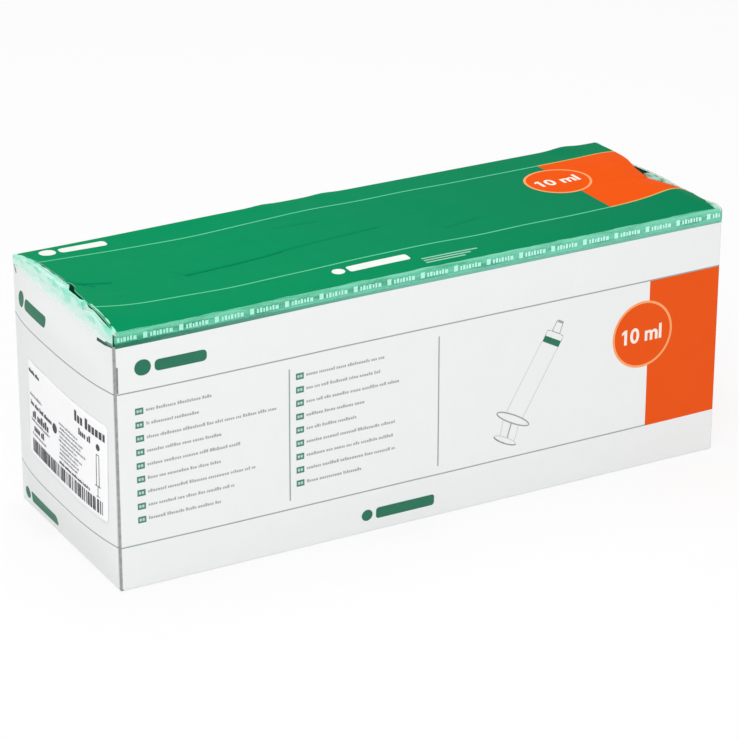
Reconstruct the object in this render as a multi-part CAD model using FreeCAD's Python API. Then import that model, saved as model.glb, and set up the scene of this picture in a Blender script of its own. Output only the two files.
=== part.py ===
import FreeCAD, Part
import math
import os
from FreeCAD import Vector

# Sealed corrugated carton for a hundred wrapped syringes, standing on its base.
# X runs along the carton, Y from front to back, Z up. The origin is the middle of the base.

# Carton, outside sizes at the folds, in millimetres
length = 400.0
depth = 139.0
height = 156.0
board = 1.5                 # thickness of the corrugated board
fold_radius = 1.2           # outside radius of the upright and long folds
fold_flatness = 1.35        # long top folds: radius of their arc over a fillet's
base_fold_radius = 0.9      # the base folds are pressed tighter

# Walls pushed outwards by the packed contents
left_bulge = 5.5
right_bulge = 4.0
long_bulge = 1.2            # front and back wall
bulge_margin = 28.0         # height over which a bulge fades towards the folds

# Lid flap: full overlap, hinged at the back, its free edge flush with the front wall
lid_crown = 1.2             # rise along the middle of the lid
lid_sag = 2.1               # hollow over a slack row of the contents
lid_sag_from_left = 100.0
lid_sag_width = 50.0
left_lift = 3.4             # lid ends pushed up, most towards the front
left_lift_reach = 25.0
right_lift = 7.7
right_lift_reach = 22.0
right_roll = 12.0           # length over which the right end turns down to its rim
dent_depth = 3.6            # dent in the middle of the right end
dent_from_front = 66.0
dent_radius = 20.0
right_rim = 0.6             # the right wall's rim above the top folds
lid_seam = 0.4              # seam under the lid's free edge, in the front wall

# Slits between the lid's cut ends and the end walls
lid_gap = 2.0               # lid end to the outside of the wall
left_pull = 6.0             # how far the left end is drawn in behind its step
left_step = 66.0            # step in the left end, from the front wall
left_step_run = 9.0         # length over which the lid comes back out
left_slit_depth = 7.0
right_pull = 5.0            # how far the right end is drawn in at the dent
right_slit_depth = 5.0

# Notch in the rim of the left wall, cut square behind and sloping in front
notch_from_front = 30.0
notch_width = 12.0
notch_depth = 4.4

# Glued joint at the front left corner, and the nick in its cut edge
joint_width = 0.5
joint_depth = 1.0
nick_top = 19.0             # below the top folds
nick_height = 15.6
nick_width = 2.2
nick_depth = 0.6

# Seam between the two long bottom flaps
base_seam = 1.2
base_seam_shift = 2.0       # middle of the base to the near edge of the seam

# Clear sealing tape, folded over the front edge and both ends of the lid
skin_gap = 0.1              # glue line under the tapes
tape = 0.2
tape_drop = 7.6             # down the wall
tape_lap = 3.6              # onto the lid
tape_rim_lap = 1.2          # onto the rim only, behind the notch and the dent
tape_patch_lap = 9.0        # onto the lid, over the dent

# Paper label on the left end wall
label_gap = 0.16            # glue line under the label
label_thickness = 0.2
label_width = 105.0
label_height = 60.8
label_from_front = 8.8
label_from_top = 55.2
label_turn = 1.9            # put on by hand, a little askew, in degrees
label_corner = 1.5

half_length = length / 2
half_depth = depth / 2
clear = 12.0                # how far cutting shapes reach past the carton


def smooth(share):
    """Ease from 0 to 1, level at both ends."""
    share = min(max(share, 0.0), 1.0)
    return share * share * (3 - 2 * share)


def bulge_share(z):
    """How much of a wall's bulge is reached at height z."""
    return smooth((z - base_fold_radius) / bulge_margin) * smooth((height - z) / bulge_margin)


def evenly(start, end, count):
    """Evenly spaced values, both ends included."""
    return [start + (end - start) * i / (count - 1) for i in range(count)]


def spline(points):
    """Smooth curve through the points."""
    curve = Part.BSplineCurve()
    curve.interpolate(points)
    return curve.toShape()


def wall_edges(z, grow):
    """Outlines of the four walls at height z, moved outwards by grow, in turn round the carton."""
    flat_x = half_length - fold_radius
    flat_y = half_depth - fold_radius
    swell = bulge_share(z)

    def end_point(side, bulge, t):
        return Vector(side * (half_length + grow + bulge * swell * (1 - abs(t) ** 3)), flat_y * t, z)

    def long_point(side, t):
        return Vector(flat_x * t, side * (half_depth + grow + long_bulge * swell * (1 - t ** 4)), z)

    return [
        spline([end_point(-1, left_bulge, t) for t in evenly(-1, 1, 7)]),
        spline([long_point(1, t) for t in evenly(-1, 1, 7)]),
        spline([end_point(1, right_bulge, t) for t in evenly(1, -1, 7)]),
        spline([long_point(-1, t) for t in evenly(1, -1, 7)]),
    ]


def fold_edges(z, grow):
    """Quarter circles of the four upright folds at height z, each after its wall."""
    radius = fold_radius + grow
    edges = []
    for side_x, side_y, start in ((-1, 1, 180), (1, 1, 90), (1, -1, 0), (-1, -1, -90)):
        centre = Vector(side_x * (half_length - fold_radius), side_y * (half_depth - fold_radius), z)
        angles = [math.radians(start - turn) for turn in (0, 45, 90)]
        points = [centre + Vector(radius * math.cos(a), radius * math.sin(a), 0) for a in angles]
        edges.append(Part.Arc(*points).toShape())
    return edges


def outline(z, grow):
    """Closed outline of the carton at height z."""
    pairs = zip(wall_edges(z, grow), fold_edges(z, grow))
    return Part.Wire([edge for pair in pairs for edge in pair])


def lid_height(x, y):
    """Height of the lid's face: a crown, a hollow, lifted ends and a dent, level at both long folds."""
    across = y / (half_depth - fold_radius)
    from_left = max(half_length + x, 0)
    from_right = max(half_length - x, 0)
    crown = lid_crown * (1 - 0.25 * across)
    hollow = math.exp(-((from_left - lid_sag_from_left) / lid_sag_width) ** 2)
    sag = lid_sag * (1 + 0.35 * across) * hollow
    left = left_lift * (1 - 0.75 * across) * math.exp(-from_left / left_lift_reach)
    right = right_lift * (1 - across) * math.exp(-from_right / right_lift_reach)
    right *= 1 - math.exp(-(from_right / right_roll) ** 2)
    from_dent = math.hypot(from_right, y + half_depth - dent_from_front)
    dent = dent_depth * math.exp(-(from_dent / dent_radius) ** 2)
    return height + (1 - across ** 4) * (crown - sag + left + right - dent)


def under_lid(grow):
    """Everything below the lid's upper face, moved up by grow."""
    reach_x = half_length + clear
    reach_y = half_depth + 2 * fold_radius
    grid = []
    for x in evenly(-reach_x, reach_x, 33):
        grid.append([Vector(x, y, lid_height(x, y) + grow) for y in evenly(-reach_y, reach_y, 13)])
    surface = Part.BSplineSurface()
    surface.interpolate(grid)
    return surface.toShape().extrude(Vector(0, 0, -2 * height))


def long_fold_waste(side, grow):
    """What a long top fold's rounding takes off, as a bar outside its arc.

    The arc is flatter than a fillet's, so it crosses the wall and the lid at an angle.
    """
    radius = fold_radius * fold_flatness
    inset = fold_radius * (1 - math.sqrt(0.5)) + radius * math.sqrt(0.5)
    centre_y = side * (half_depth - inset)
    centre_z = height - inset
    radius += grow
    outer = Vector(0, centre_y + side * radius, centre_z)
    middle = Vector(0, centre_y + side * radius * math.sqrt(0.5), centre_z + radius * math.sqrt(0.5))
    top = Vector(0, centre_y, centre_z + radius)
    high = Vector(0, centre_y, height + clear)
    far = Vector(0, centre_y + side * clear, height + clear)
    low = Vector(0, centre_y + side * clear, centre_z)
    edges = [Part.Arc(outer, middle, top).toShape()]
    edges += Part.makePolygon([top, high, far, low, outer]).Edges
    bar = Part.Face(Part.Wire(edges)).extrude(Vector(length + 2 * clear, 0, 0))
    bar.translate(Vector(-half_length - clear, 0, 0))
    return bar


def walls(grow):
    """The four walls and their upright folds, closed below at the base folds and open height above."""
    low = base_fold_radius
    high = height + clear
    shares = (0, 0.25, 0.5, 0.75, 1)
    levels = [low + bulge_margin * s for s in shares]
    levels += evenly(low + bulge_margin, height - bulge_margin, 5)[1:-1]
    levels += [height - bulge_margin * s for s in reversed(shares)]
    levels += [height + clear / 2, high]
    rows = [wall_edges(z, grow) for z in levels]
    faces = []
    for column in zip(*rows):
        faces += Part.makeLoft([Part.Wire([edge]) for edge in column], False, False).Faces
    faces += [edge.extrude(Vector(0, 0, high - low)) for edge in fold_edges(low, grow)]
    faces += [Part.Face(outline(low, grow)), Part.Face(outline(high, grow))]
    shell = Part.makeShell(faces)
    shell.sewShape()
    return Part.makeSolid(shell)


def base(grow):
    """The foot of the carton, its folds turned on an arc in three flat steps."""
    rings = []
    for angle in (0, 30, 60, 90):
        turn = math.radians(angle)
        ring = outline(0, grow - base_fold_radius * (1 - math.sin(turn)))
        ring.translate(Vector(0, 0, base_fold_radius * (1 - math.cos(turn))))
        rings.append(ring)
    return Part.makeLoft(rings, True, True)


def right_rim_waste(grow):
    """What stands above the right wall's rim, outside the lid."""
    inner = half_length - board + grow
    corner = Vector(inner, -depth, height + right_rim + grow)
    return Part.makeBox(clear, 2 * depth, clear, corner)


def envelope(grow):
    """The closed carton's outer form, moved outwards by grow: walls, lid face and folds."""
    body = walls(grow).fuse(base(grow)).common(under_lid(grow))
    waste = [long_fold_waste(-1, grow), long_fold_waste(1, grow), right_rim_waste(grow)]
    return body.cut(waste).Solids[0]


def prism(points, low, high):
    """Upright prism on a plan outline of straight edges."""
    outline_points = [Vector(x, y, low) for x, y in points]
    face = Part.Face(Part.makePolygon(outline_points + outline_points[:1]))
    return face.extrude(Vector(0, 0, high - low))


def slit(side, edge_points, floor):
    """Slit between an end wall's rim and the lid's cut end.

    The lid's end runs through edge_points, each a distance from the front and one from the wall's
    outside. The floor is an outline seen from the end: distances from the front, and heights.
    """
    rim = side * (half_length - board)
    lid_end = [Vector(side * (half_length - inset), s - half_depth, 0) for s, inset in edge_points]
    edges = [spline(lid_end)]
    first, last = lid_end[0], lid_end[-1]
    edges += Part.makePolygon([last, Vector(rim, last.y, 0), Vector(rim, first.y, 0), first]).Edges
    plan = Part.Face(Part.Wire(edges)).extrude(Vector(0, 0, height + clear))
    above = [Vector(-half_length - clear, s - half_depth, z) for s, z in floor]
    above += [above[-1] + Vector(0, 0, clear * 2), above[0] + Vector(0, 0, clear * 2)]
    profile = Part.Face(Part.makePolygon(above + above[:1]))
    return plan.common(profile.extrude(Vector(length + 2 * clear, 0, 0)))


def left_slit():
    """Shallow in front of the step, and deepest just behind it."""
    drawn = lid_gap + left_pull
    edge = [
        (2 * lid_gap, lid_gap),
        (left_step / 2, lid_gap + left_pull * 0.05),
        (left_step - left_step_run, lid_gap + left_pull * 0.35),
        (left_step, drawn),
        (left_step + (depth - left_step) / 2, drawn - left_pull * 0.1),
        (depth - lid_gap - left_pull * 2, drawn - left_pull * 0.3),
        (depth - 2 * lid_gap, lid_gap),
    ]
    front = left_step - 2 * left_step_run
    floor = [
        (0, height - board),
        (front, height - board),
        (left_step - left_step_run, height - left_slit_depth),
        (left_step, height - left_slit_depth),
        (depth, height - board),
    ]
    return slit(-1, edge, floor)


def right_slit():
    """A dented end: the lid is drawn in around the dent."""
    near = dent_from_front - dent_radius
    far = dent_from_front + dent_radius
    edge = [
        (2 * lid_gap, lid_gap),
        (near - dent_radius / 2, lid_gap),
        (near, lid_gap + right_pull * 0.3),
        (dent_from_front, lid_gap + right_pull),
        (far, lid_gap + right_pull * 0.4),
        (far + dent_radius / 2, lid_gap),
        (depth - 2 * lid_gap, lid_gap),
    ]
    floor = [
        (0, height - board),
        (near, height - board),
        (dent_from_front, height - right_slit_depth),
        (far, height - board),
        (depth, height - board),
    ]
    return slit(1, edge, floor)


def notch():
    """Notch through the left wall's rim and the tape on it."""
    front = notch_from_front - half_depth
    back = front + notch_width
    top = lid_height(-half_length, back)
    profile = [
        (front, top + skin_gap + tape),
        (back, top - notch_depth),
        (back, top + clear),
        (front, top + clear),
    ]
    points = [Vector(-half_length - clear, y, z) for y, z in profile]
    face = Part.Face(Part.makePolygon(points + points[:1]))
    return face.extrude(Vector(clear + board + tape, 0, 0))


def corner_joint():
    """Gap beside the front panel's glued edge, and the nick in that edge."""
    left = Vector(-half_length - clear, -half_depth + board, -clear)
    gap = Part.makeBox(clear + joint_depth, joint_width, height - board + clear, left)
    corner = Vector(-half_length - clear, -half_depth - clear, height - nick_top - nick_height)
    return [gap, Part.makeBox(clear + nick_width, clear + nick_depth, nick_height, corner)]


def flap_seams():
    """Seam under the lid's free edge, and the one between the two bottom flaps."""
    front = Vector(-length, -half_depth - clear, height - board - lid_seam)
    below = Vector(-length, base_seam_shift, -clear)
    return [
        Part.makeBox(2 * length, clear + board, lid_seam, front),
        Part.makeBox(2 * length, base_seam, clear + board, below),
    ]


def make_carton(body):
    """Carton, lid shut, with its contents as one solid."""
    cuts = [left_slit(), right_slit(), notch()] + corner_joint() + flap_seams()
    return body.cut(cuts).removeSplitter()


def front_tape_zone():
    """Plan of the tape on the front edge, mitred at both ends."""
    out = 2 * fold_radius
    return [
        (-half_length - out, -half_depth - out),
        (half_length + out, -half_depth - out),
        (half_length - tape_lap, -half_depth + tape_lap),
        (-half_length + tape_lap, -half_depth + tape_lap),
    ]


def end_tape_zone(side, laps):
    """Plan of the tape on one end. Its laps onto the lid are pairs: distance from the front, lap."""
    inner = [(side * (half_length - lap), s - half_depth) for s, lap in laps]
    back = half_depth - fold_radius
    outer = side * (half_length + clear)
    return [(outer, -half_depth - clear)] + inner + [(side * (half_length - laps[-1][1]), back), (outer, back)]


def make_tape(skin, zone):
    """Part of the tape's skin that lies in a plan zone."""
    return skin.common(prism(zone, height - tape_drop, height + clear))


def make_label():
    """Paper label with rounded corners, following the bulged end wall."""
    corner = Vector(-half_length - clear, label_from_front - half_depth, height - label_from_top - label_height)
    block = Part.makeBox(2 * clear, label_width, label_height, corner)
    block = block.makeFillet(label_corner, [e for e in block.Edges if e.BoundBox.XLength > clear])
    block.rotate(block.BoundBox.Center, Vector(1, 0, 0), label_turn)
    return envelope(label_gap + label_thickness).cut(envelope(label_gap)).common(block)


glue_line = envelope(skin_gap)
tape_skin = envelope(skin_gap + tape).cut(glue_line)
behind_notch = notch_from_front + notch_width
left_laps = [(tape_lap, tape_lap), (notch_from_front, tape_lap), (behind_notch, tape_rim_lap)]
dent_start = dent_from_front - dent_radius
dent_end = dent_from_front + dent_radius / 2
right_laps = [
    (tape_lap, tape_lap),
    (dent_start, tape_lap),
    (dent_start + tape_lap, tape_patch_lap),
    (dent_end, tape_patch_lap),
    (dent_end + tape_lap, tape_rim_lap),
]

os.makedirs("parts", exist_ok=True)
pieces = {
    "carton": make_carton(envelope(0)),
    "front_tape": make_tape(tape_skin, front_tape_zone()),
    "left_tape": make_tape(tape_skin, end_tape_zone(-1, left_laps)).cut(notch()),
    "right_tape": make_tape(tape_skin, end_tape_zone(1, right_laps)),
    "end_label": make_label(),
}
for name, shape in pieces.items():
    shape.exportStep("parts/" + name + ".step")
    print(name, len(shape.Solids), "solid,", round(shape.Volume / 1000, 2), "cm3, valid", shape.isValid())
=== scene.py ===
import bpy
import math
import numpy as np
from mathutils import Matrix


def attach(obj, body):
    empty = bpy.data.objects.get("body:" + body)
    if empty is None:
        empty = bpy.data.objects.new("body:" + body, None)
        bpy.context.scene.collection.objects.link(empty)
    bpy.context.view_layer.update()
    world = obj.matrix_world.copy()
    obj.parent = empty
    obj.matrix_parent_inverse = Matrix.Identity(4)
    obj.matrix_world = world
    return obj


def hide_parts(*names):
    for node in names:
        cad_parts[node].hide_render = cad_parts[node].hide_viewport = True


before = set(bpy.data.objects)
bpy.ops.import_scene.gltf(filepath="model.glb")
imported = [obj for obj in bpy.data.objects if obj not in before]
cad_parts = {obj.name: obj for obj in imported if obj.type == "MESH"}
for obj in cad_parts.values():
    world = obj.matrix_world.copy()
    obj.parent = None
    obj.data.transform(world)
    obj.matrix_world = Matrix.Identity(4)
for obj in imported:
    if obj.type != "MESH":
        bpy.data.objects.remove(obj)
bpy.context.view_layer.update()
print("frame loaded:", ", ".join(sorted(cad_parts)))

# Lengths are in millimetres until a mesh is written. X runs along the carton, Y to the back, Z up,
# and the origin is the middle of the base.
mm = 0.001

carton = {
    "halfLength": 200.0,
    "halfDepth": 69.5,
    "height": 156.0,
    "board": 1.5,
    "fold": 1.2,              # radius of the upright and the long top folds
    "baseFold": 0.9,
    "longBulge": 1.2,
    "bulgeMargin": 28.0,      # height over which a bulge fades towards the folds
    "endWaves": (0.13, 46),   # depth and length
    "longWaves": (0.09, 60),
    "rimEase": 0.35,          # rounding of the rims' outer edge
    "cutEase": 0.22,          # rounding of the cut edges of the board
    "slitWidth": 0.3,         # the least gap between rim and lid
    "slitMargin": 2.0,        # the gap is shut this near to the corners
    "slitEase": 4.0,
    "slitLeast": 0.02,
    "rise": 0.0083,           # how much taller the carton stands past its slack left part, as a share
    "riseFrom": 20.0,
    "riseOver": 150.0,
    "lidColumns": 150,
    "columnPull": 0.09,       # crowds the lid's columns towards its ends
    "wallRows": 62,
    "stationGap": 2.0,
    "dentStations": (55, 76, 0.75),     # first, last and gap, from the front
    "smoothAngle": 32,
}
halfLength = carton["halfLength"]
halfDepth = carton["halfDepth"]
height = carton["height"]
fold = carton["fold"]
flatX = halfLength - fold
flatY = halfDepth - fold

lid = {
    "crown": 1.2,
    "crownFall": 0.25,        # lower towards the back, as a share
    "sag": 2.1,
    "sagGrowth": 0.35,        # deeper towards the back
    "sagFromLeft": 100.0,
    "sagWidth": 50.0,
    "leftLift": 3.4,
    "leftReach": 25.0,
    "leftFall": 0.75,
    "rightLift": 7.7,
    "rightReach": 22.0,
    "rightRoll": 12.0,        # length over which the right end turns down to its rim
    "dentDepth": 3.6,
    "dentFromFront": 66.0,
    "dentRadius": 20.0,
    "waves": (0.28, 62),
    "hingeBumps": ((161, 0.6, 7), (202, 0.7, 8), (373, 1.2, 9)),     # from the left, height, half width
    "bumpsFrom": 50.0,        # the bumps start this far behind the middle
    "bumpsEase": 18.0,
    # start and end (from the left, from the back), half width, depth
    "creases": (
        ((74, 78.0), (137, 72.6), 1.1, 0.85),
        ((137, 72.6), (202, 69.2), 1.3, 0.45),
        ((68, 71.0), (76, 82.0), 1.4, 0.22),
        ((12, 67.0), (29, 71.5), 1.4, 0.85),
        ((7, 60.0), (18, 74.0), 1.3, 0.65),
        ((150, 40.0), (176, 43.0), 1.6, 0.30),
        ((238, 88.0), (262, 84.0), 1.8, 0.30),
        ((366, 70.0), (396, 76.0), 1.6, 0.75),
        ((372, 84.0), (397, 69.0), 1.4, 0.65),
        ((385, 44.0), (398, 62.0), 1.3, 0.50),
    ),
}

# The two ends. Their curves are pairs: distance from the front wall, value
leftEnd = {
    "side": -1,
    "bulge": 5.5,
    "seed": 3,
    "notch": (30.0, 42.0, 4.6),      # front, back and depth of the tear in the rim
    "cut": ((0, 2.0), (36, 2.0), (49, 3.4), (57, 4.0), (62, 5.0), (66, 7.0), (82, 7.0), (100, 6.8),
            (118, 6.3), (127, 4.5), (134, 2.6), (139, 2.0)),         # how far in the lid is cut
    "floor": ((0, 154.5), (46, 154.5), (57, 149.0), (66, 149.0), (100, 151.8), (139, 154.5)),
    "rim": ((0, 156.9), (14, 157.2), (30, 159.9), (43, 160.9), (70, 161.0), (97, 160.9), (110, 160.2),
            (122, 158.3), (133, 156.6), (139, 156.0)),
    "laps": ((0, 3.6), (36, 3.6), (47, 1.25), (61, 1.25), (71, 6.0), (84, 6.1), (100, 5.9),
             (118, 5.6), (127, 4.6), (134, 3.2), (139, 2.8)),        # how far in the tape reaches
}
rightEnd = {
    "side": 1,
    "bulge": 4.0,
    "seed": 5,
    "notch": (30.0, 42.0, 0.0),
    "cut": ((0, 2.0), (18, 2.0), (30, 3.4), (46, 4.4), (52, 5.4), (58, 7.2), (66, 8.4), (74, 8.4),
            (82, 7.6), (89, 6.2), (96, 4.2), (104, 2.8), (112, 2.4), (139, 2.0)),
    "floor": ((0, 154.5), (46, 154.2), (58, 151.4), (66, 151.0), (78, 152.0), (90, 154.0), (139, 154.5)),
    "rim": ((0, 157.6), (4, 158.8), (14, 158.2), (24, 157.0), (34, 156.7), (47, 157.1), (60, 157.4),
            (74, 157.0), (88, 156.0), (104, 154.7), (118, 154.4), (130, 155.4), (139, 157.0)),
    "laps": ((0, 3.6), (44, 3.6), (50, 8.8), (70, 9.2), (75, 7.5), (79, 1.25), (139, 1.25)),
}

cornerJoint = {"front": 1.25, "back": 1.95, "depth": 1.0, "opening": 0.4, "openBelow": 70.0}
nick = {"low": 121.4, "high": 137.0, "width": 2.2, "depth": 0.6}
lidSeam = {"top": 154.5, "low": 154.1, "depth": 0.5}
baseSeam = {"front": 71.5, "back": 72.7, "depth": 1.2}


def smooth(share):
    # share squared times (3 - 2 share), held between 0 and 1
    share = np.clip(share, 0.0, 1.0)
    return share * share * (3 - 2 * share)


def bell(distance, halfWidth):
    return np.exp(-(distance / halfWidth) ** 2)


def through(table, at):
    # cubic Hermite curve through the pairs, its slopes averaged from the neighbours
    place, value = np.array(table, float).T
    slope = np.gradient(value, place)
    i = np.clip(np.searchsorted(place, at, side="right") - 1, 0, len(place) - 2)
    run = place[i + 1] - place[i]
    t = np.clip((at - place[i]) / run, 0, 1)
    rise = value[i] * (2 * t**3 - 3 * t**2 + 1) + value[i + 1] * (3 * t**2 - 2 * t**3)
    return rise + run * (slope[i] * (t**3 - 2 * t**2 + t) + slope[i + 1] * (t**3 - t**2))


def ripple(u, v, span, seed, count=7):
    # mean of plane sine waves with random headings and phases, about span long
    rng = np.random.default_rng(seed)
    headings = rng.uniform(0, np.pi, count)
    phases = rng.uniform(0, 2 * np.pi, count)
    spans = span * rng.uniform(0.7, 1.6, count)
    total = 0.0
    for heading, phase, length in zip(headings, phases, spans):
        total = total + np.sin(2 * np.pi * (u * np.cos(heading) + v * np.sin(heading)) / length + phase)
    return total / math.sqrt(count)


def crease(u, v, start, end, halfWidth):
    # bell curve of the distance from a straight stretch
    du, dv = end[0] - start[0], end[1] - start[1]
    t = np.clip(((u - start[0]) * du + (v - start[1]) * dv) / (du * du + dv * dv), 0, 1)
    return bell(np.hypot(u - start[0] - t * du, v - start[1] - t * dv), halfWidth)


def cornerDrop(toEnd, radius):
    # how far a rounded corner has fallen back at a distance from the end
    return radius - np.sqrt(np.maximum(radius**2 - np.maximum(radius - toEnd, 0) ** 2, 0))


def bulgeShare(z):
    # eases in over the margin above the base and out over the margin below the top
    margin = carton["bulgeMargin"]
    return smooth((z - carton["baseFold"]) / margin) * smooth((height - z) / margin)


def heightShare(x):
    # 1 at the left, a little more once the contents hold the walls up
    return 1 + carton["rise"] * smooth((x + halfLength - carton["riseFrom"]) / carton["riseOver"])


def endWall(end, y, z):
    # distance of an end wall's face from the middle: flat size, a cubic bulge, and slow waves inwards
    t = np.clip(np.abs(y) / flatY, 0, 1)
    depth, span = carton["endWaves"]
    out = end["bulge"] - depth * (2 + ripple(y, z, span, end["seed"]))
    return halfLength + bulgeShare(z) * (1 - t**3) * out


def longWall(x, z, seed=7):
    # distance of the front or back wall's face from the middle
    t = np.clip(np.abs(x) / flatX, 0, 1)
    depth, span = carton["longWaves"]
    out = carton["longBulge"] - depth * (2 + ripple(x, z, span, seed))
    return halfDepth + bulgeShare(z) * (1 - t**4) * out


def lidHeight(x, y):
    # crown, hollow, lifted ends and dent, level at the long folds, then slow waves, bumps and creases
    across = np.clip(y / flatY, -1, 1)
    fromLeft = np.maximum(halfLength + x, 0)
    fromRight = np.maximum(halfLength - x, 0)
    fromBack = halfDepth - y
    crown = lid["crown"] * (1 - lid["crownFall"] * across)
    sag = lid["sag"] * (1 + lid["sagGrowth"] * across) * bell(fromLeft - lid["sagFromLeft"], lid["sagWidth"])
    left = lid["leftLift"] * (1 - lid["leftFall"] * across) * np.exp(-fromLeft / lid["leftReach"])
    right = lid["rightLift"] * (1 - across) * np.exp(-fromRight / lid["rightReach"])
    right = right * (1 - bell(fromRight, lid["rightRoll"]))
    fromDent = np.hypot(fromRight, y + halfDepth - lid["dentFromFront"])
    dent = lid["dentDepth"] * bell(fromDent, lid["dentRadius"])
    level = 1 - across**4
    depth, span = lid["waves"]
    form = level * (crown - sag + left + right - dent) + depth * level * ripple(x, y, span, 11)
    for place, rise, halfWidth in lid["hingeBumps"]:
        behind = smooth((y - lid["bumpsFrom"]) / lid["bumpsEase"])
        form = form + rise * bell(fromLeft - place, halfWidth) * behind
    for start, end, halfWidth, depth in lid["creases"]:
        form = form - depth * level * crease(fromLeft, fromBack, start, end, halfWidth)
    return height * heightShare(x) + form


def rimHeight(end, fromFront):
    # the rim's curve, with the notch torn out of it
    front, back, depth = end["notch"]
    share = np.clip((fromFront - front) / (back - front), 0, 1)
    return through(end["rim"], fromFront) - depth * np.where(fromFront < back, share, 0)


def quadsOf(corner):
    # the quads between neighbours in a grid of corner numbers
    quads = (corner[:-1, :-1], corner[:-1, 1:], corner[1:, 1:], corner[1:, :-1])
    return np.stack(quads, axis=-1).reshape(-1, 4)


def quadGrid(nu, nv):
    # quads of an nu by nv grid whose points run along v first
    return quadsOf(np.arange((nu + 1) * (nv + 1)).reshape(nu + 1, nv + 1))


def addObject(name, data):
    added = bpy.data.objects.new(name, data)
    bpy.context.scene.collection.objects.link(added)
    return added


def addPiece(name, mesh, materials, slots=None):
    for material in materials:
        mesh.materials.append(material)
    if slots is not None:
        mesh.polygons.foreach_set("material_index", np.asarray(slots, np.int32))
    mesh.validate()
    return addObject(name, mesh)


def writePiece(name, points, quads, materials, slots=None):
    # puts whole arrays of points and quads into a mesh, its faces smooth up to an angle
    mesh = bpy.data.meshes.new(name)
    mesh.vertices.add(points.size // 3)
    mesh.vertices.foreach_set("co", (points * mm).astype(np.float32).ravel())
    mesh.loops.add(quads.size)
    mesh.loops.foreach_set("vertex_index", quads.astype(np.int32).ravel())
    mesh.polygons.add(len(quads))
    mesh.polygons.foreach_set("loop_start", np.arange(0, quads.size, 4, dtype=np.int32))
    mesh.update(calc_edges=True)
    piece = addPiece(name, mesh, materials, slots)
    mesh.polygons.foreach_set("use_smooth", np.ones(len(mesh.polygons), bool))
    mesh.set_sharp_from_angle(angle=math.radians(carton["smoothAngle"]))
    return piece


def finishPiece(piece, nodes=(), thickness=0.0):
    # a film, label or print gets its thickness inwards from its face
    if thickness:
        solid = piece.modifiers.new("thickness", "SOLIDIFY")
        solid.thickness = thickness * mm
        solid.offset = -1
    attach(piece, "root")
    if nodes:
        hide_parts(*nodes)
    print("made", piece.name, len(piece.data.polygons), "faces")


# Shader building. Each function puts its nodes into the tree that its values come from.

def setInput(socket, value):
    # a link from another node's output, or else a fixed value
    if isinstance(value, bpy.types.NodeSocket):
        socket.id_data.links.new(value, socket)
    else:
        socket.default_value = value


def addNode(owner, kind, inputs=(), **settings):
    # the owner is a node tree, or a socket in it
    node = owner.id_data.nodes.new("ShaderNode" + kind)
    for key, value in settings.items():
        setattr(node, key, value)
    for key, value in dict(inputs).items():
        setInput(node.inputs[key], value)
    return node


def mathNode(kind, operation, *values):
    # a Math or VectorMath node and its outputs
    owner = next(value for value in values if isinstance(value, bpy.types.NodeSocket))
    return addNode(owner, kind, dict(enumerate(values)), operation=operation).outputs


def calc(operation, *values):
    return mathNode("Math", operation, *values)[0]


def chained(operation):
    # a function that joins any number of values, one Math node after another
    def join(first, *others):
        for value in others:
            first = calc(operation, first, value)
        return first
    return join


times, plus, minus, divide = (chained(word) for word in ("MULTIPLY", "ADD", "SUBTRACT", "DIVIDE"))
least, most, above, under = (chained(word) for word in ("MINIMUM", "MAXIMUM", "GREATER_THAN", "LESS_THAN"))


def within(value, low, high):
    # 1 where the value lies between low and high
    return calc("COMPARE", value, (low + high) / 2, (high - low) / 2)


def clamp(value):
    return addNode(value, "Clamp", {0: value}).outputs[0]


def remap(value, low, high, toLow=0.0, toHigh=1.0, **settings):
    inputs = {0: value, 1: low, 2: high, 3: toLow, 4: toHigh}
    return addNode(value, "MapRange", inputs, **settings).outputs[0]


def noise(point, scale, detail):
    return addNode(point, "TexNoise", {"Vector": point, "Scale": scale, "Detail": detail}).outputs[0]


def streaks(point, stretch, detail):
    # noise drawn out along the axes
    stretched = addNode(point, "Mapping", {"Vector": point, "Scale": stretch}).outputs[0]
    return noise(stretched, 1.0, detail)


def split(point):
    return addNode(point, "SeparateXYZ", {0: point}).outputs


def blend(share, first, second):
    return addNode(share, "Mix", {0: share, 6: first, 7: second}, data_type="RGBA").outputs[2]


def xAt(fromLeft):
    # Object coordinates, in metres, of a place on the carton
    return (fromLeft - halfLength) * mm


def yAt(fromBack):
    return (halfDepth - fromBack) * mm


def zAt(below):
    return (height - below) * mm


def newGroup(name, inputs, output):
    # a node group: an input without a value is a vector, and the outputs are numbers
    tree = bpy.data.node_groups.new(name, "ShaderNodeTree")
    for socketName, value in {"Point": None, **inputs}.items():
        kind = "Vector" if value is None else "Float"
        socket = tree.interface.new_socket(name=socketName, in_out="INPUT", socket_type="NodeSocket" + kind)
        if value is not None:
            socket.default_value = value
    for socketName in output:
        tree.interface.new_socket(name=socketName, in_out="OUTPUT", socket_type="NodeSocketFloat")
    return tree, tree.nodes.new("NodeGroupInput").outputs, tree.nodes.new("NodeGroupOutput").inputs


def useGroup(group, **inputs):
    return addNode(inputs["Point"], "Group", inputs, node_tree=group).outputs


paper = {
    "fibre": (1300.0, 3.0),   # noise: scale and detail
    "mottle": (75.0, 4.0),
    "rub": (240.0, 5.0),
    "flutePitch": 3.3,
    "rubbedFrom": 0.46,       # folds are rubbed where the noise is above this
    "rubContrast": 9.0,
    "wallRub": (0.6, 0.35),   # reach in millimetres, share of the bare colour
    "lidRub": (0.9, 0.5),
    # painted shade in the lid's creases
    "creaseShading": (1.5, 0.55),           # reach in half widths, share for a crease one millimetre deep
}


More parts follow.
